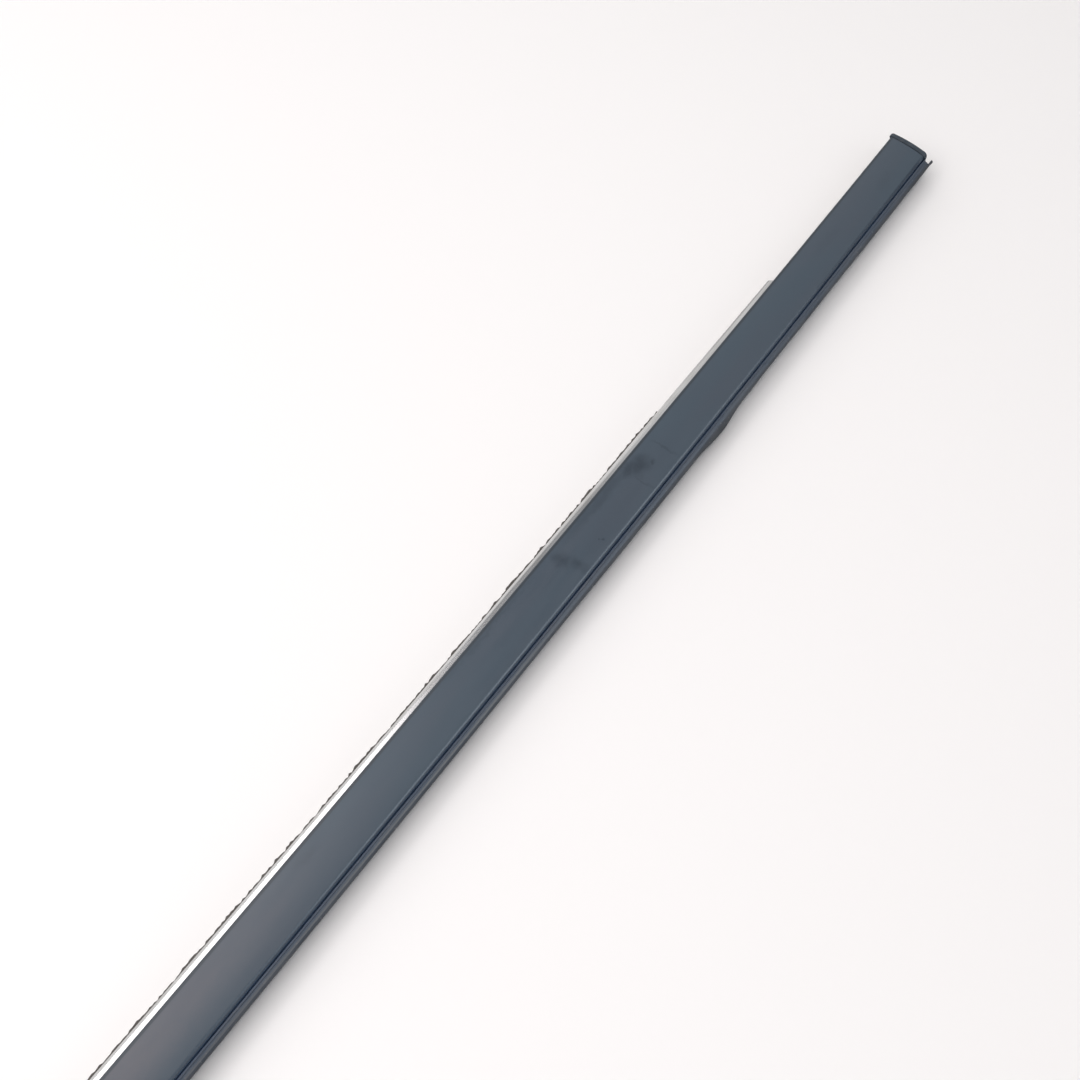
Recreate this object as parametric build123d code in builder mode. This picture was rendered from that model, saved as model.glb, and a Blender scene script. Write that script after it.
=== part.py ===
from build123d import *
import math
import os

# Outer belt moulding for a car door window, lying on its inner side with its face up.
# X runs along the strip, +Y is the side with the sealing lip, +Z is out of the face.
# The origin is at mid-length, in the plane of the glass, on the line that the glass
# lip wipes. All sizes are in millimetres.

# The strip as a whole
length = 900.0
bow_radius = 23300.0        # the strip bows gently in the plane of its face
seat = 0.15                 # clearance between pieces that are pressed together

# Coated face strip, rolled from thin sheet
face_width = 20.2           # over its two side walls
face_sheet = 0.6
face_crown = 0.5            # height of the middle above the two edges
face_bend_lower = 0.7       # bend radii, along the middle of the sheet
face_bend_upper = 1.3
hem_bend = 0.6
hem_lower = 2.6             # how far the lower hem turns in under the backing
bend_share = 0.98           # each bend stops just short of the crown's end

# Bright carrier, a channel that clips over the flange of the door panel
core_sheet = 1.0
panel_slot = 3.0
core_bend = 1.1
web_inset = 4.8             # from the upper wall of the face in to the web
short_leg_gap = 0.8         # between the lower hem and the leg behind the face
leg_show = 4.1              # how far the long leg comes out beside the face
leg_flare = 1.1
leg_flare_drop = 0.6
notch_length = 113.8        # the long leg is cut back this far from the capped end
notch_under = 2.0
notch_slope = 10.3
notch_flare = 0.3           # what is left of the flare there; it widens along the taper
notch_taper = 156.0

# Seal, one soft extrusion round the channel
backing = 2.8               # between the short leg and the face
seal_wall = 1.8
neck_foot = 1.05
groove_width = 0.65
lip_below_face = 1.4
bead_width = 0.75           # rounded bead along the groove
bead_round = 0.3
bead_step = 0.5
land_width = 1.4            # flatter land outside the bead
land_drop = 0.35
lip_slope = 2.4             # from the land out to the free edge, untrimmed
lip_fall = 3.2
lip_thick = 2.3
lip_edge = 0.8
lip_edge_share = 0.3        # rounding of the free edge, as a share of its height
glass_lip_height = 3.25     # from the glass to the underside of the channel
glass_lip_reach = 4.6
glass_pad = 2.9
glass_pad_edge = 0.7
soft_edge = 0.5             # radii of the soft profiles
soft_bend = 0.8

# Trimming of the sealing lip, as distances from the capped end
lip_cut = 4.3
fin_length = 3.8            # a sliver of the outer edge is left past the cut
fin_width = 0.8
fin_spread = 0.2
fin_root = 4.0
trim_depth = 1.1            # how much narrower the lip is trimmed
trim_end = 187.0
swell_end = 198.5
settle_end = 362.0
settle_depth = 1.45

# Flocked wiper strip bonded under the long leg
wiper_start = 205.0
wiper_base = 4.4
wiper_base_inset = 0.6
wiper_base_thick = 1.05
wiper_reach = 3.4
wiper_pad = 2.6

# End caps
cap_rim = 2.9               # width of the rim seen from above
cap_skew = 4.0              # the end shown is cut this many degrees off square
cap_wall_lower = 1.0        # how far the cap stands past the side walls
cap_wall_upper = 1.1
cap_proud = 0.35
cap_corner_lower = 1.2
cap_corner_upper = 2.6
cap_edge = 0.5
plug_length = 14.0
plug_edge = 0.6

# Heights, worked out from the glass plane up
under_z = glass_lip_height - neck_foot
long_leg_z = glass_lip_height + seat + core_sheet / 2
short_leg_z = long_leg_z + core_sheet + panel_slot
backing_z = short_leg_z + core_sheet / 2
backing_top = backing_z + backing
face_z = backing_top + seat + face_sheet / 2
face_edge_z = face_z + face_sheet / 2
hem_z = backing_z - seat - face_sheet / 2

# Places across the strip, from the middle of the face
wall_lower = -(face_width - face_sheet) / 2
wall_upper = (face_width - face_sheet) / 2
crown_lower = wall_lower + face_bend_lower
crown_upper = wall_upper - face_bend_upper
crown_middle = (crown_lower + crown_upper) / 2
backing_lower = wall_lower + face_sheet / 2 + seat
backing_upper = wall_upper - face_sheet / 2 - seat
web_y = wall_upper - web_inset
short_leg_y = wall_lower + hem_lower + short_leg_gap
long_leg_y = wall_lower - leg_show
flare_y = long_leg_y - leg_flare
neck_inner = web_y + core_sheet / 2 + seat
neck_outer = neck_inner + seal_wall
hem_upper_tip = neck_outer + seat
groove_outer = wall_upper + face_sheet / 2 + groove_width
bead_y = groove_outer + bead_width
land_y = bead_y + land_width
lip_tip = land_y + lip_slope
cap_lower = wall_lower - face_sheet / 2 - cap_wall_lower
cap_upper = wall_upper + face_sheet / 2 + cap_wall_upper
glass_lip_tip = neck_outer + glass_lip_reach
glass_line = glass_lip_tip - glass_pad / 2

half = length / 2
start_x = -half + cap_rim + seat
end_x = half - cap_rim - seat
clear = 3.0                 # how far cutting shapes reach past what they cut
bow_centre = Vector(0, -bow_radius - glass_line, 0)
bow_axis = Axis(bow_centre, (0, 0, -1))


def heading(x):
    """Direction of the strip in plan, at x along its curve."""
    return Vector(math.cos(x / bow_radius), -math.sin(x / bow_radius), 0)


def plan(x, y):
    """Point in plan, x along the curve and y across it from the middle of the face."""
    radial = Vector(math.sin(x / bow_radius), math.cos(x / bow_radius), 0)
    return bow_centre + radial * (bow_radius + y)


def along(x_from, x_to, y):
    """Arc in plan that follows the bow at a constant y."""
    ThreePointArc(plan(x_from, y), plan((x_from + x_to) / 2, y), plan(x_to, y))


def across(x, skew=0.0):
    """Plane across the strip at x along its curve, turned by skew degrees in plan."""
    facing = x / bow_radius + math.radians(skew)
    return Plane(
        origin=plan(x, 0),
        x_dir=(math.sin(facing), math.cos(facing), 0),
        z_dir=(math.cos(facing), -math.sin(facing), 0),
    )


def sweep_along(start, end):
    """Carry the pending profile along the bowed strip from start to end."""
    revolve(axis=bow_axis, revolution_arc=math.degrees((end - start) / bow_radius))


def rounded_line(first, corners, last):
    """Line from first to last round the corners, each given as y, z and radius."""
    FilletPolyline(
        first, [(y, z) for y, z, _ in corners], last,
        radius=[radius for _, _, radius in corners],
    )


# Face strip: crowned in the middle, crisp along its lower edge and softer beside the
# groove, with both edges hemmed in under the backing
with BuildPart() as face_strip:
    with BuildSketch(across(start_x - clear)):
        with BuildLine():
            ThreePointArc((crown_lower, face_z), (crown_middle, face_z + face_crown), (crown_upper, face_z))
            rounded_line(
                (crown_lower, face_z),
                [(wall_lower, face_z, face_bend_lower * bend_share), (wall_lower, hem_z, hem_bend)],
                (wall_lower + hem_lower, hem_z),
            )
            rounded_line(
                (crown_upper, face_z),
                [(wall_upper, face_z, face_bend_upper * bend_share), (wall_upper, hem_z, hem_bend)],
                (hem_upper_tip, hem_z),
            )
        trace(line_width=face_sheet)
    sweep_along(start_x - clear, end_x)
    split(bisect_by=across(start_x, cap_skew), keep=Keep.TOP)

# Carrier: a channel with a short leg behind the face and a long leg that shows beside
# it, flared at the mouth and notched back near the capped end
with BuildPart() as carrier:
    with BuildSketch(across(start_x - clear)):
        with BuildLine():
            rounded_line(
                (short_leg_y, short_leg_z),
                [
                    (web_y, short_leg_z, core_bend),
                    (web_y, long_leg_z, core_bend),
                    (long_leg_y, long_leg_z, core_bend),
                ],
                (flare_y, long_leg_z - leg_flare_drop),
            )
        trace(line_width=core_sheet)
    sweep_along(start_x - clear, end_x)
    split(bisect_by=across(start_x, cap_skew), keep=Keep.TOP)
    notch_x = -half + notch_length
    notch_y = wall_lower + notch_under
    outside_y = flare_y - core_sheet - clear
    with BuildSketch(Plane.XY):
        with BuildLine():
            Polyline(
                plan(-half, notch_y), plan(notch_x - notch_slope, notch_y),
                plan(notch_x, long_leg_y - notch_flare),
                plan(notch_x + notch_taper, flare_y - core_sheet / 2), plan(notch_x + notch_taper, outside_y),
                plan(-half, outside_y), close=True,
            )
        make_face()
    extrude(amount=long_leg_z + core_sheet, mode=Mode.SUBTRACT)

# Seal: backing under the face, a neck round the web of the channel, the sealing lip
# beside the groove, and the flocked lip that the glass slides on
with BuildPart() as seal:
    lip_z = face_edge_z - lip_below_face
    lip_tip_z = lip_z - lip_fall
    groove_z = hem_z - face_sheet / 2 - seat
    shelf_z = groove_z - seal_wall
    foot_y = neck_inner - 2 * seal_wall
    crown_start = (crown_lower + seat, backing_top)
    crown_end = (crown_upper - seat, backing_top)
    with BuildSketch(across(-half)):
        with BuildLine():
            ThreePointArc(crown_start, (crown_middle, backing_top + face_crown), crown_end)
            rounded_line(
                crown_end,
                [
                    (backing_upper, backing_top, face_bend_upper - face_sheet / 2 - seat),
                    (backing_upper, backing_z, soft_edge),
                    (neck_outer, backing_z, seat),
                    (neck_outer, groove_z, seat),
                    (groove_outer, groove_z, seat),
                    (groove_outer, lip_z, bead_round),
                    (bead_y, lip_z, bead_round),
                    (bead_y + seat, lip_z - bead_step, seat),
                    (land_y, lip_z - bead_step - land_drop, soft_bend),
                    (lip_tip, lip_tip_z, lip_edge * lip_edge_share),
                    (lip_tip, lip_tip_z - lip_edge, lip_edge * lip_edge_share),
                    (land_y, lip_z - lip_thick, soft_bend),
                    (bead_y, shelf_z, soft_bend),
                    (neck_outer, shelf_z, soft_bend),
                    (neck_outer, under_z, soft_bend),
                    (glass_lip_tip, glass_pad_edge, seat),
                    (glass_lip_tip, 0, seat),
                    (glass_lip_tip - glass_pad, 0, soft_bend),
                    (neck_inner - seal_wall, under_z, soft_bend),
                    (foot_y, under_z, soft_edge),
                    (foot_y, glass_lip_height, seat),
                    (neck_inner, glass_lip_height, seat),
                    (neck_inner, backing_z, seat),
                    (backing_lower, backing_z, hem_bend - face_sheet / 2),
                    (backing_lower, backing_top, face_bend_lower - face_sheet / 2 - seat),
                ],
                crown_start,
            )
        make_face()
    sweep_along(-half, end_x)

    # The end is cut square a little inside the cap, below the middle of the neck
    cut_x = -half + lip_cut
    beyond_y = lip_tip + clear
    neck_middle_z = (under_z + shelf_z) / 2
    with BuildSketch(Plane.XY.offset(neck_middle_z)):
        with BuildLine():
            Polyline(
                plan(cut_x, -beyond_y), plan(cut_x, beyond_y),
                plan(-half - clear, beyond_y), plan(-half - clear, -beyond_y), close=True,
            )
        make_face()
    extrude(amount=-neck_middle_z - clear, mode=Mode.SUBTRACT)

    # Above it a sliver of the sealing lip's outer edge is left on as a short fin beside
    # the cap
    fin_x = cut_x - fin_length
    trimmed_y = lip_tip - trim_depth
    fin_y = trimmed_y - fin_width
    with BuildSketch(Plane.XY.offset(neck_middle_z)):
        with BuildLine():
            Polyline(
                plan(cut_x, -beyond_y), plan(cut_x, fin_y), plan(fin_x, fin_y + fin_spread),
                plan(fin_x, beyond_y),
                plan(-half - clear, beyond_y), plan(-half - clear, -beyond_y), close=True,
            )
        make_face()
    extrude(amount=face_edge_z, mode=Mode.SUBTRACT)

    # The free edge of the lip is trimmed narrow near the end, swells out where the
    # trimming stops, and then settles back along the rest of the strip
    trim_x = -half + trim_end
    swell_x = -half + swell_end
    settle_x = -half + settle_end
    settle_y = lip_tip - settle_depth
    with BuildSketch(Plane.XY.offset(shelf_z)):
        with BuildLine():
            Polyline(
                plan(fin_x - clear, beyond_y), plan(fin_x - clear, trimmed_y + fin_spread),
                plan(fin_x, trimmed_y + fin_spread), plan(fin_x + fin_root, trimmed_y),
            )
            along(fin_x + fin_root, trim_x, trimmed_y)
            Spline(
                plan(trim_x, trimmed_y), plan(swell_x, lip_tip),
                tangents=[heading(trim_x), heading(swell_x)],
            )
            Spline(
                plan(swell_x, lip_tip), plan(settle_x, settle_y),
                tangents=[heading(swell_x), heading(settle_x)],
            )
            along(settle_x, half, settle_y)
            Line(plan(half, settle_y), plan(half, beyond_y))
            along(fin_x - clear, half, beyond_y)
        make_face()
    extrude(amount=face_edge_z, mode=Mode.SUBTRACT)

# Wiper strip: a bonded base and one flocked tongue that reaches out past the long leg
with BuildPart() as wiper_strip:
    wiper_x = -half + wiper_start
    wiper_outer = long_leg_y + wiper_base_inset
    wiper_inner = wiper_outer + wiper_base
    wiper_top = long_leg_z - core_sheet / 2
    wiper_under = wiper_top - wiper_base_thick
    wiper_tip = wiper_outer - wiper_reach
    with BuildSketch(across(wiper_x)):
        with BuildLine():
            rounded_line(
                (wiper_inner, wiper_top),
                [
                    (wiper_inner, wiper_under, soft_edge),
                    ((wiper_inner + wiper_outer) / 2, wiper_under, soft_bend),
                    (wiper_tip + wiper_pad, 0, soft_bend),
                    (wiper_tip, 0, seat),
                    (wiper_tip, glass_pad_edge, seat),
                    (wiper_outer, wiper_under, soft_bend),
                ],
                (wiper_outer, wiper_top),
            )
            Line((wiper_outer, wiper_top), (wiper_inner, wiper_top))
        make_face()
    sweep_along(wiper_x, end_x)


def make_cap(x, skew, outward):
    """Rim and plug of a cap; x is its inner face, and outward is the way it closes the strip."""
    with BuildSketch(across(x, skew)) as rim:
        with BuildLine():
            ThreePointArc(
                (cap_lower, face_edge_z),
                ((cap_lower + cap_upper) / 2, face_edge_z + face_crown + cap_proud),
                (cap_upper, face_edge_z),
            )
            Polyline(
                (cap_upper, face_edge_z), (cap_upper, under_z), (cap_lower, under_z),
                (cap_lower, face_edge_z),
            )
        make_face()
    extrude(rim.sketch, amount=outward * cap_rim)

    # Rounded outer corners, then a softened edge round the top apart from its inner side
    facing = across(x, skew).z_dir * outward
    for place, radius in ((0, cap_corner_lower), (-1, cap_corner_upper)):
        outer_corners = edges().filter_by(Axis.Z).sort_by(lambda edge: edge.center().dot(facing))[-2:]
        fillet(outer_corners.sort_by(Axis.Y)[place], radius=radius)
    top = faces().sort_by(Axis.Z)[-1]
    against_face = top.edges().sort_by(lambda edge: edge.center().dot(facing))[0]
    fillet([edge for edge in top.edges() if edge.center() != against_face.center()], radius=cap_edge)

    # Plug between the two legs of the channel
    plug_low = short_leg_y + seat
    plug_high = web_y - core_sheet / 2 - core_bend
    with BuildSketch(across(x, skew)) as plug:
        with Locations(((plug_low + plug_high) / 2, (long_leg_z + short_leg_z) / 2)):
            RectangleRounded(plug_high - plug_low, panel_slot - 2 * seat, plug_edge)
    extrude(plug.sketch, amount=-outward * plug_length)


# End caps: moulded rims that close the strip, each with a plug pushed into the channel
with BuildPart() as end_cap:
    make_cap(-half + cap_rim, cap_skew, -1)

with BuildPart() as far_cap:
    make_cap(half - cap_rim, 0.0, 1)

face_strip.part.label = "face_strip"
carrier.part.label = "carrier"
seal.part.label = "seal"
wiper_strip.part.label = "wiper_strip"
end_cap.part.label = "end_cap"
far_cap.part.label = "far_cap"

os.makedirs("parts", exist_ok=True)
for piece in (face_strip, carrier, seal, wiper_strip, end_cap, far_cap):
    export_step(piece.part, f"parts/{piece.part.label}.step")
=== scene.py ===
import math

import bpy
import numpy as np
from mathutils import Matrix, Vector


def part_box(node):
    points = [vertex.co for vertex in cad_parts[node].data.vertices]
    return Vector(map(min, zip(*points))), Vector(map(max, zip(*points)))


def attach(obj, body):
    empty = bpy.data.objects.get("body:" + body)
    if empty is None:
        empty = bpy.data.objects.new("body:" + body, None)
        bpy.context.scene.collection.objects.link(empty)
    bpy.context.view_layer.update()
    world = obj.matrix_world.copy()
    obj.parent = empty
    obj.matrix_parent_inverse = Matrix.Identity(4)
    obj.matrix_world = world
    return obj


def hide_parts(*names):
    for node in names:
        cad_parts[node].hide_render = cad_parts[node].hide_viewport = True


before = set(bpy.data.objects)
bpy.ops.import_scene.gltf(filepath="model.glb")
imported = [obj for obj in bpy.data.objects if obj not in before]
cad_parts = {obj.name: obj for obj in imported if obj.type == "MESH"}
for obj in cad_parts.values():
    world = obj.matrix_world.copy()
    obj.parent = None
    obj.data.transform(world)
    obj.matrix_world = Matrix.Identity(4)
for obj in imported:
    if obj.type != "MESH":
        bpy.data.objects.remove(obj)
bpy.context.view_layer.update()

# The face strip is the part of the moulding that is seen on the car: thin sheet, rolled
# to a shallow crown, coated satin black and hemmed in under the backing on both sides.
# Its lower edge is crisp, the edge beside the groove is softer.

bow_radius = 23.3           # the strip bows gently in the plane of its face
glass_line = 0.0106         # from the middle of the face to the line that the glass lip wipes
half_length = 0.450
seat = 0.00015              # clearance between pieces that are pressed together
cap_rim = 0.0029
cap_skew = math.radians(5.6)
skew_fade = 0.03            # length over which the skewed ends of the pieces turn square

face_sheet = 0.0006
face_crown = 0.0005
face_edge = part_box("face_strip")[1].z - face_crown
face_z = face_edge - face_sheet / 2
hem_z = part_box("face_strip")[0].z + face_sheet / 2
wall = 0.0098               # middle of the sheet in each side wall, from the middle of the face
bend_lower = 0.0004
edge_out = 0.00012          # the lower side wall is rolled out this much past the other
bend_upper = 0.0013
hem_bend = 0.0006
hem_lower = 0.0026
hem_upper = 0.0022
cut_edge = 0.00012          # softening of a cut sheet edge

start_along = -half_length + cap_rim + seat
end_along = half_length - cap_rim - seat


def sheet(path, thick):
    """Corners of the closed outline of a sheet of that thickness.

    path holds across, height and bend radius of each corner of the sheet's middle line, from
    one cut edge to the other. Each corner is pushed out along its mitre, half the thickness
    to the left and then, on the way back, to the right; a bend's radius grows by half the
    thickness on its outer side and shrinks by as much on its inner side.
    """
    path = np.array(path)
    run = np.diff(path[:, :2], axis=0)
    run /= np.linalg.norm(run, axis=1, keepdims=True)
    left = np.stack([-run[:, 1], run[:, 0]], axis=1)
    left = np.concatenate([left[:1], left, left[-1:]])
    mitre = (left[:-1] + left[1:]) / (1 + np.sum(left[:-1] * left[1:], axis=1))[:, None]
    turn = np.sign(left[:-1, 0] * left[1:, 1] - left[:-1, 1] * left[1:, 0])
    sides = [
        np.column_stack([
            path[:, :2] + side * mitre * thick / 2, path[:, 2] - side * turn * thick / 2,
        ])
        for side in (1, -1)
    ]
    return np.concatenate([sides[0], sides[1][::-1]])


def rounded(corners, steps=7):
    """Closed outline through corners given as across, height and radius.

    A corner becomes an arc of that radius that touches both of its sides: the centre lies on
    the bisector, and the arc swings from one touching point to the other.
    """
    corners = np.array(corners)
    point, radius = corners[:, :2], corners[:, 2:]
    back = np.roll(point, 1, axis=0) - point
    ahead = np.roll(point, -1, axis=0) - point
    back /= np.linalg.norm(back, axis=1, keepdims=True)
    ahead /= np.linalg.norm(ahead, axis=1, keepdims=True)
    half = 0.5 * np.arccos(np.clip(np.sum(back * ahead, axis=1, keepdims=True), -1, 1))
    bisector = back + ahead
    bisector /= np.linalg.norm(bisector, axis=1, keepdims=True)
    centre = point + bisector * radius / np.sin(half)
    first = point + back * radius / np.tan(half) - centre
    last = point + ahead * radius / np.tan(half) - centre
    sweep = (np.pi - 2 * half)[:, None]
    share = np.linspace(0, 1, steps)[None, :, None]
    arcs = np.sin((1 - share) * sweep) * first[:, None] + np.sin(share * sweep) * last[:, None]
    return (centre[:, None] + arcs / np.sin(sweep)).reshape(-1, 2)


def filled(outline, spacing):
    """Closed outline with more points along its long runs, none further apart than spacing."""
    closed = np.concatenate([outline, outline[:1]])
    travel = np.concatenate([[0], np.cumsum(np.linalg.norm(np.diff(closed, axis=0), axis=1))])
    places = np.union1d(travel, np.arange(0, travel[-1], spacing))[:-1]
    return np.stack([np.interp(places, travel, closed[:, axis]) for axis in (0, 1)], axis=1)


def bowed(straight):
    """Points of the bowed strip from straight ones (along, across, height).

    along becomes an angle about the far centre of the bow, and across adds to its radius.
    """
    angle = straight[..., 0] / bow_radius
    reach = bow_radius + straight[..., 1]
    across = reach * np.cos(angle) - bow_radius - glass_line
    return np.stack([reach * np.sin(angle), across, straight[..., 2]], axis=-1)


def make_piece(name, points, straight, faces, smooth_below=40):
    """Mesh object from points, with the straight strip's coordinates kept as an attribute."""
    mesh = bpy.data.meshes.new(name)
    sizes = np.array([len(face) for face in faces])
    mesh.vertices.add(len(points))
    mesh.vertices.foreach_set("co", points.ravel())
    mesh.loops.add(int(sizes.sum()))
    mesh.loops.foreach_set("vertex_index", np.concatenate(faces).astype(np.int32))
    mesh.polygons.add(len(faces))
    first_loops = np.concatenate([[0], np.cumsum(sizes)[:-1]])
    mesh.polygons.foreach_set("loop_start", first_loops.astype(np.int32))
    mesh.update(calc_edges=True)
    mesh.validate()
    kept = mesh.attributes.new("straight", "FLOAT_VECTOR", "POINT")
    kept.data.foreach_set("vector", straight.ravel())
    mesh.shade_smooth()
    mesh.set_sharp_from_angle(angle=math.radians(smooth_below))
    piece = bpy.data.objects.new(name, mesh)
    bpy.context.scene.collection.objects.link(piece)
    return piece


def grid_faces(rows, columns, around):
    """Four-cornered faces of a grid of points, closed round its columns where around is true."""
    row = np.arange(rows - 1)[:, None] * columns
    column = np.arange(columns if around else columns - 1)[None, :]
    beside = (column + 1) % columns
    corners = [row + column, row + columns + column, row + columns + beside, row + beside]
    return np.stack(corners, axis=-1).reshape(-1, 4)


def carry(name, outlines, along, ends=None):
    """Closed outline carried along the strip, and closed by a flat face at each end.

    outlines is one outline or one for each place along. along is the distance from the middle
    of the strip, one for each place, or one for each point of each outline.
    """
    along = np.asarray(along)
    outlines = np.broadcast_to(outlines, (len(along),) + np.shape(outlines)[-2:])
    rows, columns = outlines.shape[:2]
    along = np.broadcast_to(along.reshape(rows, -1), (rows, columns))
    straight = np.concatenate([along[..., None], outlines], axis=-1).reshape(-1, 3)
    last_row = (rows - 1) * columns
    closing = [np.arange(columns)] if ends is None else ends
    faces = list(grid_faces(rows, columns, True)) + closing + [last_row + np.arange(columns)[::-1]]
    return make_piece(name, bowed(straight), straight, faces)


def wire(nodes, kind, inputs, **settings):
    """Adds a shader node; an input is a constant, or another node's output that is linked."""
    node = nodes.new(kind)
    for name, value in settings.items():
        setattr(node, name, value)
    for name, value in inputs.items():
        if isinstance(value, bpy.types.NodeSocket):
            nodes.id_data.links.new(value, node.inputs[name])
        else:
            node.inputs[name].default_value = value
    return node


def new_finish(name, **constants):
    """Material with a Principled shader, its constants set, and the straight coordinates."""
    finish = bpy.data.materials.new(name)
    finish.use_nodes = True
    nodes = finish.node_tree.nodes
    shader = nodes["Principled BSDF"]
    for socket, value in constants.items():
        shader.inputs[socket.replace("_", " ")].default_value = value
    place = wire(nodes, "ShaderNodeAttribute", {}, attribute_name="straight").outputs["Vector"]
    return finish, nodes, shader, place


def grain(nodes, place, stretch, detail=3.0, rough=0.5, low=0.35, high=0.65):
    """Noise from 0 to 1. stretch gives the bumps per metre along, across and in height."""
    scaled = wire(nodes, "ShaderNodeMapping", {"Vector": place, "Scale": stretch}).outputs["Vector"]
    shape = {"Vector": scaled, "Scale": 1.0, "Detail": detail, "Roughness": rough}
    noise = wire(nodes, "ShaderNodeTexNoise", shape)
    return levels(nodes, noise.outputs["Fac"], low, high, 0.0, 1.0)


def levels(nodes, value, low, high, new_low, new_high, shape="LINEAR"):
    """Maps low..high of a value to new_low..new_high, and holds it there."""
    return wire(
        nodes, "ShaderNodeMapRange",
        {"Value": value, "From Min": low, "From Max": high, "To Min": new_low, "To Max": new_high},
        interpolation_type=shape,
    ).outputs["Result"]


def reckon(nodes, operation, first, second=0.0):
    """Arithmetic on two values."""
    return wire(nodes, "ShaderNodeMath", {0: first, 1: second}, operation=operation).outputs[0]


def times(nodes, *shares):
    """Product of several values."""
    product = shares[0]
    for share in shares[1:]:
        product = reckon(nodes, "MULTIPLY", product, share)
    return product


def on_vector(nodes, operation, inputs):
    """Outputs of an operation on vectors."""
    return wire(nodes, "ShaderNodeVectorMath", inputs, operation=operation).outputs


def split(nodes, vector):
    """The X, Y and Z of a vector."""
    return wire(nodes, "ShaderNodeSeparateXYZ", {"Vector": vector}).outputs


def tint(nodes, share, first, second):
    """Colour from first to second as share goes from 0 to 1."""
    mixer = nodes.new("ShaderNodeMix")
    mixer.data_type = "RGBA"
    colours = [socket for socket in mixer.inputs if socket.type == "RGBA"]
    for socket, value in ((mixer.inputs[0], share), (colours[0], first), (colours[1], second)):
        if isinstance(value, bpy.types.NodeSocket):
            nodes.id_data.links.new(value, socket)
        else:
            socket.default_value = value
    return [socket for socket in mixer.outputs if socket.type == "RGBA"][0]


def raise_from(nodes, shader, layers):
    """Bump of several layers, each a height from 0 to 1 and its depth in metres."""
    normal = None
    for height, depth in layers:
        inputs = {"Height": height, "Distance": depth, "Strength": 1.0}
        if normal is not None:
            inputs["Normal"] = normal
        normal = wire(nodes, "ShaderNodeBump", inputs).outputs["Normal"]
    nodes.id_data.links.new(normal, shader.inputs["Normal"])


def feed(nodes, shader, socket, value):
    """Links a value or colour to one of the shader's sockets."""
    nodes.id_data.links.new(value, shader.inputs[socket])


face_path = [
    (hem_lower - wall, hem_z, cut_edge), (-wall - edge_out, hem_z, hem_bend),
    (-wall - edge_out, face_z, bend_lower),
    (wall, face_z, bend_upper), (wall, hem_z, hem_bend), (wall - hem_upper, hem_z, cut_edge),
]
face_outline = filled(rounded(sheet(face_path, face_sheet)), 0.0007)
crown_middle = (bend_lower - bend_upper) / 2
crown_half = wall - (bend_lower + bend_upper) / 2
rise = 1 - ((face_outline[:, 0] - crown_middle) / crown_half) ** 2
over_middle = face_outline[:, 1] > (face_z + hem_z) / 2
face_outline[:, 1] += face_crown * np.clip(rise, 0, 1) * over_middle

face_along = np.concatenate([
    np.linspace(0, skew_fade, 31), np.linspace(skew_fade + 0.005, end_along - start_along, 240),
])
skew_left = np.clip(1 - face_along / skew_fade, 0, 1)[:, None]
skew_shift = np.tan(cap_skew) * face_outline[None, :, 0] * skew_left
face = carry("face", face_outline, start_along + face_along[:, None] + skew_shift)

coated, nodes, shader, place = new_finish("satin_coating", Specular_IOR_Level=0.62)
slate = (0.044, 0.066, 0.090, 1)
slate_violet = (0.048, 0.065, 0.088, 1)
wall_painted_light = (0.118, 0.183, 0.292, 1)
slate_dark = (0.022, 0.034, 0.050, 1)
slate_edge_shade = (0.028, 0.038, 0.050, 1)
slate_fold_shade = (0.030, 0.047, 0.070, 1)
slate_shade = (0.010, 0.023, 0.042, 1)
painted_sheen_tone = (0.100, 0.095, 0.108, 1)
worn = (0.19, 0.20, 0.21, 1)
drift = grain(nodes, place, (14, 70, 70), detail=2.0)
colour = tint(nodes, drift, slate, slate_violet)

# Handling marks, each a distance from the capped end, a place across, a length, a width
# and a darkness, as they lie on the face
handling_marks = [
    (0.239, -0.0030, 0.0140, 0.0100, 1.0), (0.243, -0.0058, 0.0130, 0.0060, 1.0),
    (0.234, 0.0004, 0.0030, 0.0030, 1.0),
    (0.2775, 0.0052, 0.0020, 0.0016, 0.9), (0.2785, 0.0042, 0.0012, 0.0008, 0.9),
    (0.2935, 0.0035, 0.0060, 0.0110, 0.7), (0.2965, -0.0030, 0.0080, 0.0100, 0.8),
    (0.262, -0.0070, 0.050, 0.0060, 0.6), (0.340, -0.0080, 0.070, 0.0030, 0.4),
    (0.451, -0.0050, 0.014, 0.0050, 0.4),
    (0.2246, 0.0010, 0.0016, 0.0160, 0.5), (0.2447, 0.0030, 0.0016, 0.0140, 0.5),
    (0.030, 0.0020, 0.018, 0.0070, 0.2), (0.080, -0.0020, 0.030, 0.0060, 0.15),
]
cloud = grain(nodes, place, (110, 220, 220), detail=4.0, rough=0.6, low=0.25, high=0.7)
cloud = levels(nodes, cloud, 0, 1, 0.7, 1.0)
smear = 0.005               # how far the outlines of the marks wander
uneven = wire(nodes, "ShaderNodeTexNoise", {"Vector": place, "Scale": 260.0, "Detail": 3.0})
uneven = on_vector(nodes, "SUBTRACT", {0: uneven.outputs["Color"], 1: (0.5, 0.5, 0.5)})["Vector"]
uneven = on_vector(nodes, "SCALE", {0: uneven, "Scale": smear})["Vector"]
smeared = on_vector(nodes, "ADD", {0: place, 1: uneven})["Vector"]
marked = 0.0
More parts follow.
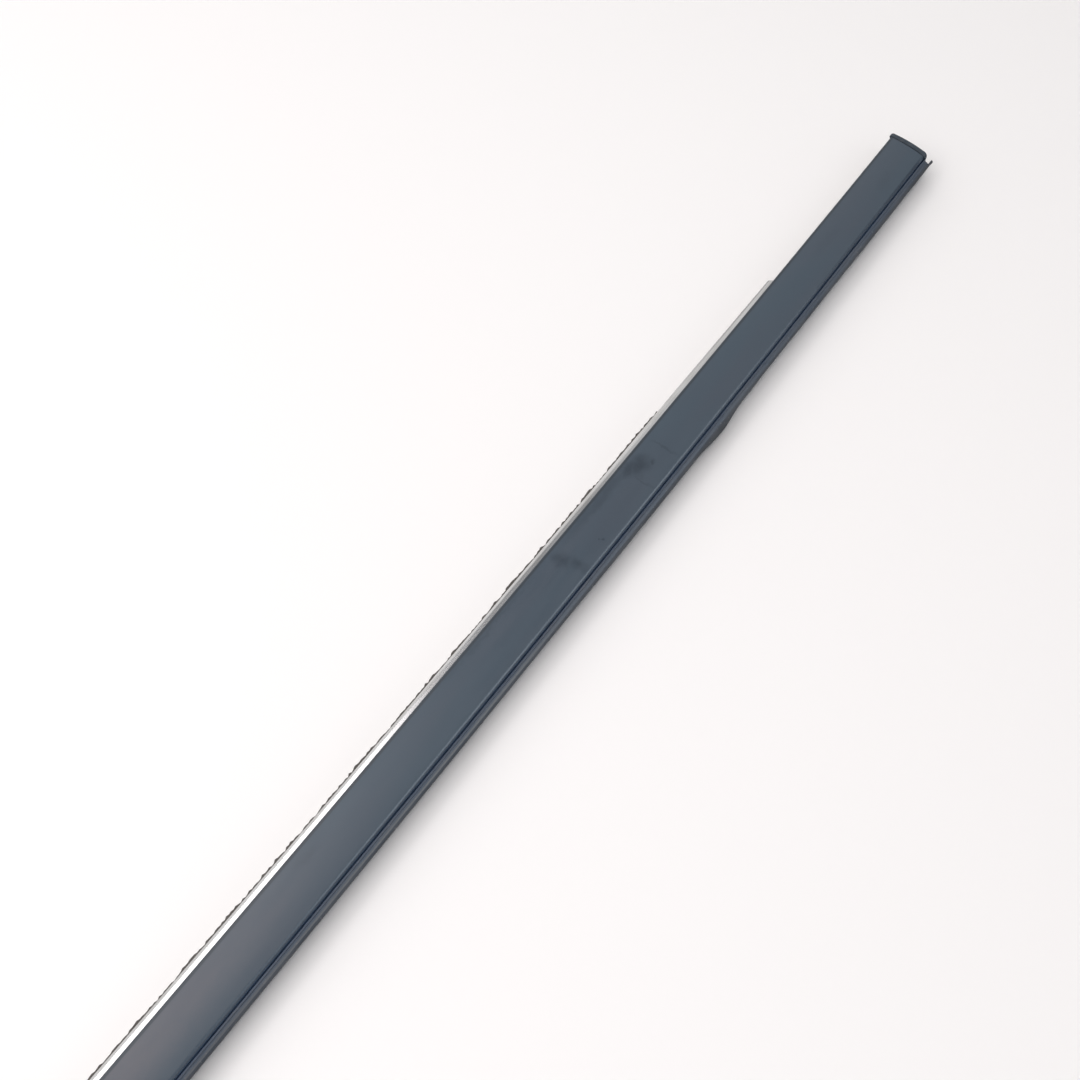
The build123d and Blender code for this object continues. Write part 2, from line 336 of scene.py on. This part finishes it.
for from_end, mark_across, mark_length, mark_width, darkness in handling_marks:
    size = (2 / mark_length, 2 / mark_width, 0)
    centre = ((half_length - from_end) * size[0], -mark_across * size[1], 0)
    near = wire(nodes, "ShaderNodeMapping", {"Vector": smeared, "Location": centre, "Scale": size})
    distance = on_vector(nodes, "LENGTH", {0: near.outputs["Vector"]})["Value"]
    mark = levels(nodes, distance, 0.1, 1.3, darkness, 0.0, "SMOOTHSTEP")
    marked = reckon(nodes, "MAXIMUM", marked, mark)
marked = times(nodes, marked, cloud)
colour = tint(nodes, marked, colour, slate_dark)

# A lighter, warmer painted sheen far from the capped end, worn spots on both long edges, painted
# shade on the crisp edge and the fold beside the groove, and painted light on the wall inside it
smeared_at = split(nodes, smeared)
far_off = levels(nodes, smeared_at["X"], 0.430 - half_length, 0.540 - half_length, 0, 1)
to_lower_side = levels(nodes, smeared_at["Y"], -0.004, 0.009, 0.75, 0.15, "SMOOTHSTEP")
# painted sheen: a lighter, warmer tone towards the lower side that stands in for light reflected off the
# face
colour = tint(nodes, times(nodes, far_off, to_lower_side, cloud), colour, painted_sheen_tone)

place_at = split(nodes, place)
across = place_at["Y"]
from_middle = reckon(nodes, "ABSOLUTE", across)
on_edge = levels(nodes, from_middle, wall - 0.0004, wall + 0.0003, 0, 1, "SMOOTHSTEP")
rubbed = grain(nodes, place, (90, 400, 400), detail=5.0, low=0.56, high=0.75)
colour = tint(nodes, times(nodes, on_edge, rubbed, 0.35), colour, worn)
# painted shade: darker along the crisp lower edge, where its bend turns away from the light
edge_shade_mask = levels(nodes, across, -wall + 0.0007, -wall + 0.0014, 1, 0, "SMOOTHSTEP")
colour = tint(nodes, edge_shade_mask, colour, slate_edge_shade)
# painted shade: the fold beside the groove is darkened, most of all near the capped end, where it turns
# away from the light
fold_shade_mask = levels(nodes, across, wall - 0.0013, wall - 0.0006, 0, 1, "SMOOTHSTEP")
fold_shade_start = levels(
    nodes, smeared_at["X"], 0.004 - half_length, 0.013 - half_length, 0.2, 1, "SMOOTHSTEP")
near_cap_end = levels(
    nodes, smeared_at["X"], 0.085 - half_length, 0.140 - half_length, 0.9, 0.0, "SMOOTHSTEP")
fold_shade_tone = tint(nodes, near_cap_end, slate_fold_shade, slate_shade)
colour = tint(nodes, times(nodes, fold_shade_mask, fold_shade_start), colour, fold_shade_tone)
# painted light: the wall inside the groove is a lighter navy, standing in for bluish light reflected into
# its shade
groove_painted_light = levels(nodes, across, wall - 0.0001, wall + 0.0002, 0, 1, "SMOOTHSTEP")
below_bend = levels(nodes, place_at["Z"], face_edge - 0.0016, face_edge - 0.0008, 1, 0, "SMOOTHSTEP")
colour = tint(nodes, times(nodes, groove_painted_light, below_bend), colour, wall_painted_light)
feed(nodes, shader, "Base Color", colour)
satin = levels(nodes, grain(nodes, place, (40, 260, 260), detail=4.0), 0, 1, 0.34, 0.42)
feed(nodes, shader, "Roughness", reckon(nodes, "SUBTRACT", satin, times(nodes, marked, 0.05)))
raise_from(nodes, shader, [
    (grain(nodes, place, (45, 160, 160), detail=1.0, low=0.2, high=0.8), 0.00003),
    (grain(nodes, place, (2600, 2600, 2600), detail=2.0, low=0.2, high=0.8), 0.000004),
])
face.data.materials.append(coated)
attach(face, "root")
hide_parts("face_strip")

# The carrier is a bright rolled channel that clips over the door panel's flange. Its short
# leg lies behind the face, and its long leg comes out beside the face, flared at the mouth.
# Near the capped end the long leg is cut back with one slanting cut.

core_sheet = 0.0010
core_bend = 0.0011
flare_bend = 0.0025
short_leg_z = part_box("carrier")[1].z - core_sheet / 2
panel_slot = 0.0030
long_leg_z = short_leg_z - core_sheet - panel_slot
web_across = wall - 0.0048
short_leg_tip = -wall + 0.0034
long_leg_bend = -wall - 0.00375
flare = np.array([-0.0011, -0.0006])
leg_edges = np.array([      # how far the leg is cut back: distance from the capped end, across
    (0.1084, -wall + 0.0020), (0.1125, long_leg_bend - 0.00045), (0.16, long_leg_bend - 0.0009),
    (0.20, long_leg_bend - 0.00125), (0.24, long_leg_bend - 0.0012),
    (0.30, long_leg_bend - 0.0012), (0.34, long_leg_bend - 0.0014),
])
fold_step = 0.000005        # points cut off the leg are folded into its edge this far apart
arc_points = 9
leg_points = 2 * arc_points     # each skin of the long leg ends in two rounded corners

flared = rounded(sheet([
    (long_leg_bend + flare[0], long_leg_z + flare[1], cut_edge),
    (long_leg_bend, long_leg_z, flare_bend),
    (web_across, long_leg_z, core_bend), (web_across, short_leg_z, core_bend),
    (short_leg_tip, short_leg_z, cut_edge),
], core_sheet), steps=arc_points)
carrier_along = np.unique(np.concatenate([
    np.linspace(start_along, end_along, 160), leg_edges[:, 0] - half_length,
    np.linspace(0.1, 0.12, 81) - half_length,
]))
leg_edge = np.interp(carrier_along + half_length, *leg_edges.T)[:, None]
channels = np.repeat(flared[None], len(carrier_along), axis=0)
for skin, order in ((slice(0, leg_points), 1), (slice(-leg_points, None), -1)):
    leg = flared[skin][::order]
    cut_off = (channels[:, skin, 0] < leg_edge)[..., None]
    folded = leg_edge - fold_step * np.arange(leg_points, 0, -1)[::order]
    folded_z = np.interp(folded, np.maximum.accumulate(leg[:, 0]), leg[:, 1])
    folded = np.stack([folded, folded_z], axis=-1)
    channels[:, skin] = np.where(cut_off, folded, channels[:, skin])
skew_left = np.clip(1 - (carrier_along - start_along) / skew_fade, 0, 1)[:, None]
skew_shift = np.tan(cap_skew) * channels[..., 0] * skew_left
carrier = carry("carrier", channels, carrier_along[:, None] + skew_shift)

bright, nodes, shader, place = new_finish("bright_rolled", Metallic=1.0)
drawn = grain(nodes, place, (9, 4200, 4200), detail=4.0, rough=0.6)
dull = grain(nodes, place, (60, 300, 300), detail=4.0, rough=0.6, low=0.45, high=0.75)
place_at = split(nodes, place)
colour = tint(nodes, drawn, (0.78, 0.772, 0.772, 1), (0.83, 0.822, 0.822, 1))
colour = tint(nodes, times(nodes, dull, 0.45), colour, (0.52, 0.50, 0.47, 1))
# painted shade: the flare near the notch is a darker grey, standing in for the darker surroundings it
# reflects there
on_flare = levels(
    nodes, place_at["Y"], long_leg_bend - 0.0005, long_leg_bend + 0.0006, 1, 0, "SMOOTHSTEP")
flare_shade_by_notch = levels(nodes, place_at["X"], 0.130 - half_length, 0.225 - half_length, 1, 0)
colour = tint(nodes, times(nodes, on_flare, flare_shade_by_notch), colour, (0.46, 0.455, 0.455, 1))
feed(nodes, shader, "Base Color", colour)
feed(nodes, shader, "Roughness", levels(nodes, drawn, 0, 1, 0.16, 0.27))
raise_from(nodes, shader, [(drawn, 0.0000003), (dull, 0.000002)])
carrier.data.materials.append(bright)
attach(carrier, "root")
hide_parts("carrier")

# The seal is one extrusion of black rubber: the backing that fills the face strip, a neck
# round the channel's web, the sealing lip outside the groove, and the lip that wipes the
# glass. The lip's free edge is trimmed narrow by hand near the capped end.

seal_wall = 0.0018
soft = 0.0005
soft_bend = 0.0008
backing_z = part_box("carrier")[1].z
backing_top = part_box("face_strip")[1].z - face_crown - face_sheet - seat
backing_edge = wall - face_sheet / 2 - seat
neck_inner = web_across + core_sheet / 2 + seat
neck_outer = neck_inner + seal_wall
groove_floor = hem_z - face_sheet / 2 - seat
groove_outer = wall + face_sheet / 2 + 0.00065
bead_outer = groove_outer + 0.00075
land_outer = bead_outer + 0.0014
lip_top = face_edge - 0.0014
land_z = lip_top - 0.0005
land_drop = 0.00035
lip_edge = 0.0008
lip_tip = land_outer + 0.0024
lip_tip_z = lip_top - 0.0032
lip_under = lip_top - 0.0023
shelf_z = groove_floor - seal_wall
glass_lip_z = long_leg_z - core_sheet / 2 - seat
foot_z = glass_lip_z - 0.00105
foot_across = neck_inner - 2 * seal_wall
glass_tip = neck_outer + 0.0046
pad_width = 0.0029
pad_edge = 0.0007


def seal_outline(trim):
    """Outline of the seal with its sealing lip trimmed back by that much.

    Both sides of the lip are straight towards its free edge, so the two corners of the edge
    slide in along them as the lip is trimmed.
    """
    share = trim / (lip_tip - land_outer)
    tip = lip_tip - trim
    tip_top = lip_tip_z + share * (land_z - land_drop - lip_tip_z)
    tip_under = lip_tip_z - lip_edge + share * (lip_under - lip_tip_z + lip_edge)
    crown_room = 0.00015
    return rounded([
        (-backing_edge, backing_z, 0.0003), (-backing_edge, backing_top, 0.00025),
        (backing_edge, backing_top, bend_upper - face_sheet / 2 - crown_room),
        (backing_edge, backing_z, soft), (neck_outer, backing_z, seat),
        (neck_outer, groove_floor, seat), (groove_outer, groove_floor, seat),
        (groove_outer, lip_top, 0.0003), (bead_outer, lip_top, 0.0003),
        (bead_outer + seat, land_z, seat), (land_outer, land_z - land_drop, soft_bend),
        (tip, tip_top, 0.00012), (tip, tip_under, 0.00012),
        (land_outer, lip_under, soft_bend), (bead_outer, shelf_z, soft_bend),
        (neck_outer, shelf_z, soft_bend), (neck_outer, foot_z, soft_bend),
        (glass_tip, pad_edge, seat), (glass_tip, 0, seat),
        (glass_tip - pad_width, 0, soft_bend), (neck_inner - seal_wall, foot_z, soft_bend),
        (foot_across, foot_z, soft), (foot_across, glass_lip_z, seat), (neck_inner, glass_lip_z, seat),
        (neck_inner, backing_z, seat),
    ])


# Trimming along the strip, as distances from the capped end and depths: narrow by hand, then
# a short swelling where the knife was set down anew. Each length of it eases in and out.
trim_hand = 0.0011
trim_end = 0.182
trim_run = np.array([
    (0.0, 0.00104), (0.065, 0.00110), (0.105, 0.00136), (0.165, 0.00140), (trim_end, 0.00124),
    (0.1985, 0.0), (0.2005, 0.0), (0.2185, 0.00102), (0.262, 0.00108), (0.335, 0.00142),
    (2 * half_length, 0.00146),
])
cut_end = 0.0043            # the lip is cut off this far from the capped end
fin_length = 0.0038
fin_width = 0.0008
fin_spread = 0.0002


def ease(value):
    """From 0 to 1 as value does, level at both ends."""
    value = np.clip(value, 0, 1)
    return value * value * (3 - 2 * value)


seal_from_end = np.unique(np.concatenate([
    np.linspace(cut_end, 2 * half_length - cap_rim - seat, 190), np.linspace(cut_end, 0.03, 32),
    np.linspace(0.18, 0.26, 120),
]))
knot = np.clip(np.searchsorted(trim_run[:, 0], seal_from_end, side="right") - 1, 0, len(trim_run) - 2)
before, after = trim_run[knot], trim_run[knot + 1]
passed = (seal_from_end - before[:, 0]) / (after[:, 0] - before[:, 0])
trim = before[:, 1] + (after[:, 1] - before[:, 1]) * ease(passed)
wobble = np.random.default_rng(3).normal(size=60)
hand_cut = np.interp(seal_from_end, np.linspace(0, trim_end, 60), wobble) * 0.00005
trim = np.clip(trim + hand_cut * (seal_from_end < trim_end), 0, None)

# Two outlines, trimmed by nothing and by 1.1 mm, blend to any other. On both, two points a
# hair apart are added at the inner side of the fin, above and below: after the rounded corner
# of the land and after that of the lip's lower edge
whole, trimmed = seal_outline(0.0), seal_outline(trim_hand)
fin_inner = lip_tip - trim_hand - fin_width
fin_corner = 0.00002
corner_points = 7           # points of a rounded corner
above_lip, below_lip = 11 * corner_points - 1, 13 * corner_points - 1


def add_points(outline, other, after, places):
    """Both outlines with points added to the straight run that follows a point.

    places are the points' places across on the first outline, and the other outline gets
    its points at the same shares of that run.
    """
    start, end = outline[after], outline[after + 1]
    share = ((np.array(places) - start[0]) / (end[0] - start[0]))[:, None]
    return [np.insert(line, after + 1, line[after] + share * (line[after + 1] - line[after]), axis=0)
            for line in (outline, other)]


trimmed, whole = add_points(trimmed, whole, below_lip, [fin_inner, fin_inner - fin_corner])
trimmed, whole = add_points(trimmed, whole, above_lip, [fin_inner - fin_corner, fin_inner])
top_corner = int(np.argmax((trimmed[:, 0] > 0) & (trimmed[:, 1] > backing_top - 1e-6)))
crown_places = np.linspace(0, 1, 26)[1:-1, None]


def with_crown(outline):
    """Raises the top of the backing to the crown of the face, with points along it."""
    start, end = outline[top_corner - 1], outline[top_corner]
    top = start + crown_places * (end - start)
    height = 1 - ((top[:, 0] - crown_middle) / (crown_half - seat)) ** 2
    top[:, 1] += face_crown * np.clip(height, 0, 1)
    return np.insert(outline, top_corner, top, axis=0)


trimmed, whole = with_crown(trimmed), with_crown(whole)
lip_blend = (trim / trim_hand)[:, None, None]
seals = whole + (trimmed - whole) * lip_blend
around = np.arange(len(trimmed))
fin_side = np.flatnonzero(np.abs(trimmed[:, 0] - fin_inner) < 1.5 * fin_corner)
fin_face = np.arange(fin_side[1], fin_side[2] + 1)
rest_face = np.concatenate([around[:fin_side[0] + 1], around[fin_side[3]:]])
in_fin = np.isin(around, fin_face)
near_end = np.clip(1 - (seal_from_end - cut_end) / 0.025, 0, 1)[:, None] ** 3
seals[..., 0] += fin_spread * in_fin * near_end ** 8
seal_along = -half_length + seal_from_end[:, None] - fin_length * in_fin * near_end
seal = carry("seal", seals, seal_along, ends=[fin_face, fin_side, rest_face])

rubber, nodes, shader, place = new_finish("black_rubber", Specular_IOR_Level=0.5)
streaks = grain(nodes, place, (7, 1500, 1500), detail=3.0)
bloom = grain(nodes, place, (60, 160, 160), detail=5.0, rough=0.6, low=0.4, high=0.75)
dust = grain(nodes, place, (900, 900, 900), detail=2.0, low=0.66, high=0.74)
place_at = split(nodes, place)
across = place_at["Y"]
colour = tint(nodes, streaks, (0.033, 0.047, 0.072, 1), (0.048, 0.064, 0.092, 1))
# painted shade: the lip darkens towards its free edge, where its surface turns away from the light
outward = levels(nodes, across, land_outer - 0.0008, lip_tip - trim_hand, 0, 1, "SMOOTHSTEP")
colour = tint(nodes, outward, colour, (0.022, 0.025, 0.032, 1))
# painted light: the rubber inside the groove is a lighter navy, standing in for bluish light reflected
# into its shade
above_floor = levels(
    nodes, place_at["Z"], groove_floor - 0.0004, groove_floor - 0.0001, 0, 1, "SMOOTHSTEP")
groove_painted_light = levels(nodes, across, groove_outer, groove_outer + 0.0003, 1, 0, "SMOOTHSTEP")
colour = tint(nodes, times(nodes, groove_painted_light, above_floor), colour, (0.100, 0.145, 0.23, 1))
# painted highlight: a lighter lengthwise band on the land towards the far end, standing in for light the
# land catches there
off_land = reckon(nodes, "ABSOLUTE", reckon(nodes, "SUBTRACT", across, land_outer - 0.0003))
on_land = levels(nodes, off_land, 0.0001, 0.0006, 0.7, 0, "SMOOTHSTEP")
land_highlight_end = levels(nodes, place_at["X"], 0.300 - half_length, 0.350 - half_length, 0, 1, "SMOOTHSTEP")
land_highlight = times(nodes, on_land, land_highlight_end, levels(nodes, streaks, 0, 1, 0.5, 1))
colour = tint(nodes, land_highlight, colour, (0.125, 0.120, 0.115, 1))
colour = tint(nodes, times(nodes, bloom, 0.5), colour, (0.092, 0.095, 0.105, 1))
colour = tint(nodes, times(nodes, dust, 0.3), colour, (0.22, 0.22, 0.22, 1))
feed(nodes, shader, "Base Color", colour)
feed(nodes, shader, "Roughness", levels(nodes, bloom, 0, 1, 0.44, 0.60))
raise_from(nodes, shader, [(streaks, 0.000012), (grain(nodes, place, (1800, 1800, 1800)), 0.000008)])
seal.data.materials.append(rubber)
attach(seal, "root")
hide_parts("seal")

# The wiper strip is a thin flocked rubber tongue bonded under the long leg. Its outer edge
# has frayed, and shows as a ragged dark line beyond the bright metal.

wiper_outer = long_leg_bend + 0.0006
wiper_inner = wiper_outer + 0.0044
wiper_top = long_leg_z - core_sheet / 2
wiper_under = wiper_top - 0.00105
wiper_tip = wiper_outer - 0.0036
wiper_pad = 0.0026
wiper_start = 0.205


def wiper_outline(worn_back):
    """Outline of the wiper strip with its tip worn back by that much."""
    tip = wiper_tip + worn_back
    return rounded([
        (wiper_outer, wiper_top, 0.0001), (wiper_inner, wiper_top, 0.0001),
        (wiper_inner, wiper_under, soft), ((wiper_inner + wiper_outer) / 2, wiper_under, soft_bend),
        (wiper_tip + wiper_pad, 0, soft_bend), (tip, 0, 0.0001), (tip, pad_edge, 0.0002),
        (wiper_outer, wiper_under, soft_bend),
    ], steps=6)


fray_step = 0.0006
wiper_from_end = np.arange(wiper_start, 2 * half_length - cap_rim - seat, fray_step)
random = np.random.default_rng(11)
fray = np.zeros(len(wiper_from_end))
for bump_length, depth in ((0.040, 0.00007), (0.012, 0.00011), (0.004, 0.00017), (0.0012, 0.00022)):
    knots = np.arange(wiper_start, 2 * half_length + bump_length, bump_length)
    fray += np.interp(wiper_from_end, knots, random.normal(size=len(knots))) * depth
fray = np.clip(fray + 0.0002, -0.0003, 0.0007)
intact, frayed = wiper_outline(0.0), wiper_outline(0.001)
wipers = intact + (frayed - intact) * (fray / 0.001)[:, None, None]
wiper = carry("wiper", wipers, -half_length + wiper_from_end)

flock, nodes, shader, place = new_finish(
    "dark_flock", Specular_IOR_Level=0.2, Sheen_Weight=0.35, Sheen_Roughness=0.6)
fibres = grain(nodes, place, (2500, 2500, 2500), detail=4.0, rough=0.7, low=0.3, high=0.7)
bare_spots = grain(nodes, place, (300, 500, 500), detail=3.0, low=0.55, high=0.7)
colour = tint(nodes, fibres, (0.026, 0.022, 0.020, 1), (0.080, 0.070, 0.060, 1))
colour = tint(nodes, times(nodes, bare_spots, 0.4), colour, (0.13, 0.12, 0.11, 1))
feed(nodes, shader, "Base Color", colour)
feed(nodes, shader, "Roughness", levels(nodes, fibres, 0, 1, 0.8, 0.95))
raise_from(nodes, shader, [(fibres, 0.00006)])
wiper.data.materials.append(flock)
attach(wiper, "root")
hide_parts("wiper_strip")

# The end caps are moulded in matt black plastic. A rim closes the strip and stands a little
# past it all round, with rounded outer corners and a softened top edge, and a plug behind
# it is pushed into the channel.

cap_lower = -wall - face_sheet / 2 - 0.0010
cap_upper = wall + face_sheet / 2 + 0.0011
cap_corner_lower = 0.0012
cap_corner_upper = 0.0026
cap_inner_corner = 0.0002
cap_edge = 0.0005
cap_foot_edge = 0.0002
cap_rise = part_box("end_cap")[1].z - face_edge
under_rim = 0.0006          # below this the rim's lower side draws in under the face
draw_in = 0.0009
draw_depth = 0.0014
plug_length = 0.0140
plug_edge = 0.0006
plug_low = short_leg_tip + seat
plug_high = web_across - core_sheet / 2 - core_bend


def places_on(outline, spacing):
    """Places on a closed outline as point numbers with fractions, at most spacing apart."""
    steps = np.linalg.norm(np.roll(outline, -1, axis=0) - outline, axis=1)
    travel = np.concatenate([[0], np.cumsum(steps)])
    places = np.union1d(travel, np.arange(0, travel[-1], spacing))[:-1]
    return np.interp(places, travel, np.arange(len(travel)))


def rim_plan(inset):
    """Plan of the rim, drawn in by inset, as across and outward from its inner face."""
    corners = [
        (cap_lower + inset, inset, cap_inner_corner),
        (cap_lower + inset, cap_rim - inset, cap_corner_lower - inset),
        (cap_upper - inset, cap_rim - inset, cap_corner_upper - inset),
        (cap_upper - inset, inset, cap_inner_corner),
    ]
    return rounded([(y, out, max(radius, 0.0001)) for y, out, radius in corners], steps=10)


def make_cap(name, node, skew, outward):
    """Cap of rim and plug. outward is the way along the strip that the cap closes it.

    The rim is a stack of plan outlines: its height runs up the side, then the outline draws
    in round a quarter circle at the top edge and on to the middle over the crowned top.
    """
    whole = rim_plan(0.0)
    places = places_on(whole, 0.0006)[::-outward]
    closed = np.concatenate([np.arange(len(whole)), [0]])
    numbers = np.arange(len(closed))
    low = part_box(node)[0].z
    turn = np.linspace(0, np.pi / 2, 9)[:, None]
    rim_layers = []
    for inset, depth in (
        [(cap_foot_edge, None), (0.0, 0.006), (0.0, 0.004)]
        + [(0.0, under_rim + draw_depth), (0.0, under_rim)]
        + [(cap_edge * (1 - math.cos(t)), cap_edge * (1 - math.sin(t))) for t in turn.ravel()]
        + [(inset, 0.0) for inset in np.linspace(cap_edge, cap_rim / 2 - 0.0001, 5)[1:]]
    ):
        plan = rim_plan(inset)[closed]
        ring = np.stack([np.interp(places, numbers, plan[:, axis]) for axis in (0, 1)], axis=1)
        share = (ring[:, 0] - (cap_lower + cap_upper) / 2) / ((cap_upper - cap_lower) / 2)
        top = face_edge + cap_rise * (1 - share ** 2)
        height = np.full(len(ring), low) if depth is None else top - depth
        below = np.clip((top - height - under_rim) / draw_depth, 0, 1)
        ring[:, 0] = np.maximum(ring[:, 0], cap_lower + draw_in * below)
        rim_layers.append(np.column_stack([ring[:, 1], ring[:, 0], height]))
    rim = np.array(rim_layers)
    rim[..., 0] = outward * (half_length - cap_rim + rim[..., 0]) - outward * math.tan(skew) * rim[..., 1]
    layers, columns = rim.shape[:2]
    top_row = (layers - 1) * columns
    rim_faces = list(grid_faces(layers, columns, True)) + [
        np.arange(columns), top_row + np.arange(columns)[::-1]]

    middle_z = (long_leg_z + short_leg_z) / 2
    tall = panel_slot / 2 - seat
    section = rounded([
        (plug_low, middle_z - tall, plug_edge), (plug_low, middle_z + tall, plug_edge),
        (plug_high, middle_z + tall, plug_edge), (plug_high, middle_z - tall, plug_edge),
    ])
    reach = np.array([0.0, 0.25, 0.5, 0.75, 1.0])[::-outward] * plug_length
    start = outward * (half_length - cap_rim) - outward * math.tan(skew) * section[None, :, 0]
    sections = np.broadcast_to(section, (len(reach),) + section.shape)
    plug = np.concatenate([(start - outward * reach[:, None])[..., None], sections], axis=-1)
    count = len(section)
    offset = layers * columns
    plug_faces = list(grid_faces(len(reach), count, True) + offset) + [
        offset + np.arange(count), offset + (len(reach) - 1) * count + np.arange(count)[::-1]]
    straight = np.concatenate([rim.reshape(-1, 3), plug.reshape(-1, 3)])
    return make_piece(name, bowed(straight), straight, rim_faces + plug_faces)


cap_plastic, nodes, shader, place = new_finish("moulded_plastic", Specular_IOR_Level=0.45)
spark = grain(nodes, place, (3200, 3200, 3200), detail=2.0, low=0.3, high=0.7)
patches = grain(nodes, place, (160, 160, 160), detail=3.0)
colour = tint(nodes, patches, (0.024, 0.036, 0.050, 1), (0.036, 0.049, 0.065, 1))
colour = tint(nodes, times(nodes, spark, 0.2), colour, (0.070, 0.080, 0.095, 1))
place_at = split(nodes, place)
inner_edge = cap_rim - half_length
square = reckon(nodes, "SUBTRACT", place_at["X"], times(nodes, place_at["Y"], math.tan(cap_skew)))
beside_face = levels(nodes, square, inner_edge - 0.0008, inner_edge - 0.0002, 0, 1, "SMOOTHSTEP")
on_near_cap = levels(nodes, place_at["X"], -0.40, -0.39, 1, 0)
off_corner = levels(nodes, place_at["Y"], wall - 0.0016, wall - 0.0006, 1, 0.1, "SMOOTHSTEP")
in_shade = times(nodes, beside_face, on_near_cap, off_corner)
colour = tint(nodes, in_shade, colour, (0.012, 0.020, 0.030, 1))
# Lighter patches over the top of the rim: partly scuffs, partly a painted highlight where the rim's top
# catches the light
rim_edge = levels(nodes, place_at["Z"], face_edge - cap_edge, face_edge, 0, 1, "SMOOTHSTEP")
scuffs_and_top_light = grain(nodes, place, (500, 500, 500), detail=4.0, low=0.5, high=0.7)
colour = tint(nodes, times(nodes, rim_edge, scuffs_and_top_light, 0.25), colour, (0.13, 0.135, 0.14, 1))
feed(nodes, shader, "Base Color", colour)
feed(nodes, shader, "Roughness", levels(nodes, patches, 0, 1, 0.48, 0.6))
raise_from(nodes, shader, [(spark, 0.00001)])
for name, node, skew, outward in (
    ("near_cap", "end_cap", cap_skew, -1), ("hidden_cap", "far_cap", 0.0, 1),
):
    cap = make_cap(name, node, skew, outward)
    cap.data.materials.append(cap_plastic)
    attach(cap, "root")
    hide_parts(node)

# The floor is a plain pale sheet. The world is a soft pale studio, darker on the side of the
# sealing lip and overhead, and plain where the camera sees it past the floor.

floor_mesh = bpy.data.meshes.new("floor")
floor_half = 4.0
floor_z = -0.0001
floor_mesh.from_pydata(
    [(-floor_half, -floor_half, floor_z), (floor_half, -floor_half, floor_z),
     (floor_half, floor_half, floor_z), (-floor_half, floor_half, floor_z)], [], [(0, 1, 2, 3)])
floor = bpy.data.objects.new("floor", floor_mesh)
bpy.context.scene.collection.objects.link(floor)
pale = bpy.data.materials.new("pale_floor")
pale.use_nodes = True
paint = pale.node_tree.nodes["Principled BSDF"]
paint.inputs["Base Color"].default_value = (0.92, 0.897, 0.885, 1)
paint.inputs["Roughness"].default_value = 0.9
paint.inputs["Specular IOR Level"].default_value = 0.1
floor_mesh.materials.append(pale)

world = bpy.context.scene.world or bpy.data.worlds.new("world")
bpy.context.scene.world = world
world.use_nodes = True
nodes = world.node_tree.nodes
sky = nodes["Background"]
ray = split(nodes, nodes.new("ShaderNodeTexCoord").outputs["Generated"])
far_back = levels(nodes, ray["X"], -0.68, -0.60, 1, 0, "SMOOTHSTEP")
slope = reckon(nodes, "DIVIDE", ray["X"], reckon(nodes, "MAXIMUM", ray["Z"], 0.02))
high = levels(nodes, ray["Z"], 0.5, 0.8, 0, 1, "SMOOTHSTEP")
dim = times(nodes, high, levels(nodes, slope, -0.56, -0.46, 0, 1, "SMOOTHSTEP"))
to_lip_side = levels(nodes, ray["Y"], -0.5, 0.5, 0, 1)
lip_wall = tint(nodes, far_back, (0.55, 0.57, 0.60, 1), (0.15, 0.16, 0.18, 1))
walls_round = tint(nodes, to_lip_side, (0.78, 0.775, 0.77, 1), lip_wall)
studio = tint(nodes, dim, walls_round, (0.27, 0.275, 0.285, 1))
seen = wire(nodes, "ShaderNodeLightPath", {}).outputs["Is Camera Ray"]
nodes.id_data.links.new(tint(nodes, seen, studio, (0.85, 0.85, 0.85, 1)), sky.inputs["Color"])
sky.inputs["Strength"].default_value = 1.0


def soft_lamp(name, centre, aim, size, radiance, colour):
    """Rectangular lamp at centre that faces aim, its power worked out from its radiance.

    The lamp itself is returned, so that it can be kept out of reflections or of the light.
    """
    lamp = bpy.data.lights.new(name, "AREA")
    lamp.shape = "RECTANGLE"
    lamp.size, lamp.size_y = size
    lamp.energy = radiance * math.pi * size[0] * size[1]
    lamp.color = colour
    holder = bpy.data.objects.new(name, lamp)
    turn = (Vector(aim) - Vector(centre)).to_track_quat("-Z", "Y").to_matrix().to_4x4()
    holder.matrix_world = Matrix.Translation(centre) @ turn
    bpy.context.scene.collection.objects.link(holder)
    return holder


# The lamp overhead is the main one, and shows in the bright leg. Two more only light the floor
# and the strip, and the last only shows, as the thin bright line along the fold by the groove.
soft_lamp("overhead", (0.665, -0.55, 1.1), (0.665, -0.05, 0), (1.8, 0.9), 1.75, (1.0, 0.965, 0.975))
for name, centre, size, radiance in (
    ("behind", (0.0, -1.6, 1.19), (3.4, 1.4), 0.85), ("above", (0.0, 0.18, 1.3), (2.2, 0.5), 1.7),
):
    lamp = soft_lamp(name, centre, (0, 0, 0), size, radiance, (1.0, 0.985, 0.975))
    lamp.visible_glossy = False
fold_light = soft_lamp(
    "fold_light", (-0.47, 0.70, 0.80), (-0.47, 0.0, 0), (1.2, 0.5), 4.2, (0.86, 0.95, 1.0))
fold_light.visible_diffuse = False

# The camera is the one fitted to the photo, at its angle and with its angle of view.
camera_turn = math.radians(217.88)
camera_tilt = math.radians(25.06)
camera_place = (-0.0019, 0.0927, 0.4288)
up_in_picture = Vector((math.cos(camera_turn), math.sin(camera_turn), 0))
forward = math.sin(camera_tilt) * up_in_picture - math.cos(camera_tilt) * Vector((0, 0, 1))
down = -math.cos(camera_tilt) * up_in_picture - math.sin(camera_tilt) * Vector((0, 0, 1))
right = down.cross(forward)
camera_data = bpy.data.cameras.new("camera")
camera_data.sensor_width = 36
camera_data.lens = 36 * 1082 / 1080     # a focal length of 1082 of the photo's 1080 pixels
camera_data.clip_start = 0.01
camera = bpy.data.objects.new("camera", camera_data)
camera_axes = Matrix((right, -down, -forward)).transposed().to_4x4()
camera.matrix_world = Matrix.Translation(camera_place) @ camera_axes
bpy.context.scene.collection.objects.link(camera)
bpy.context.scene.camera = camera
bpy.context.scene.view_settings.view_transform = "Standard"
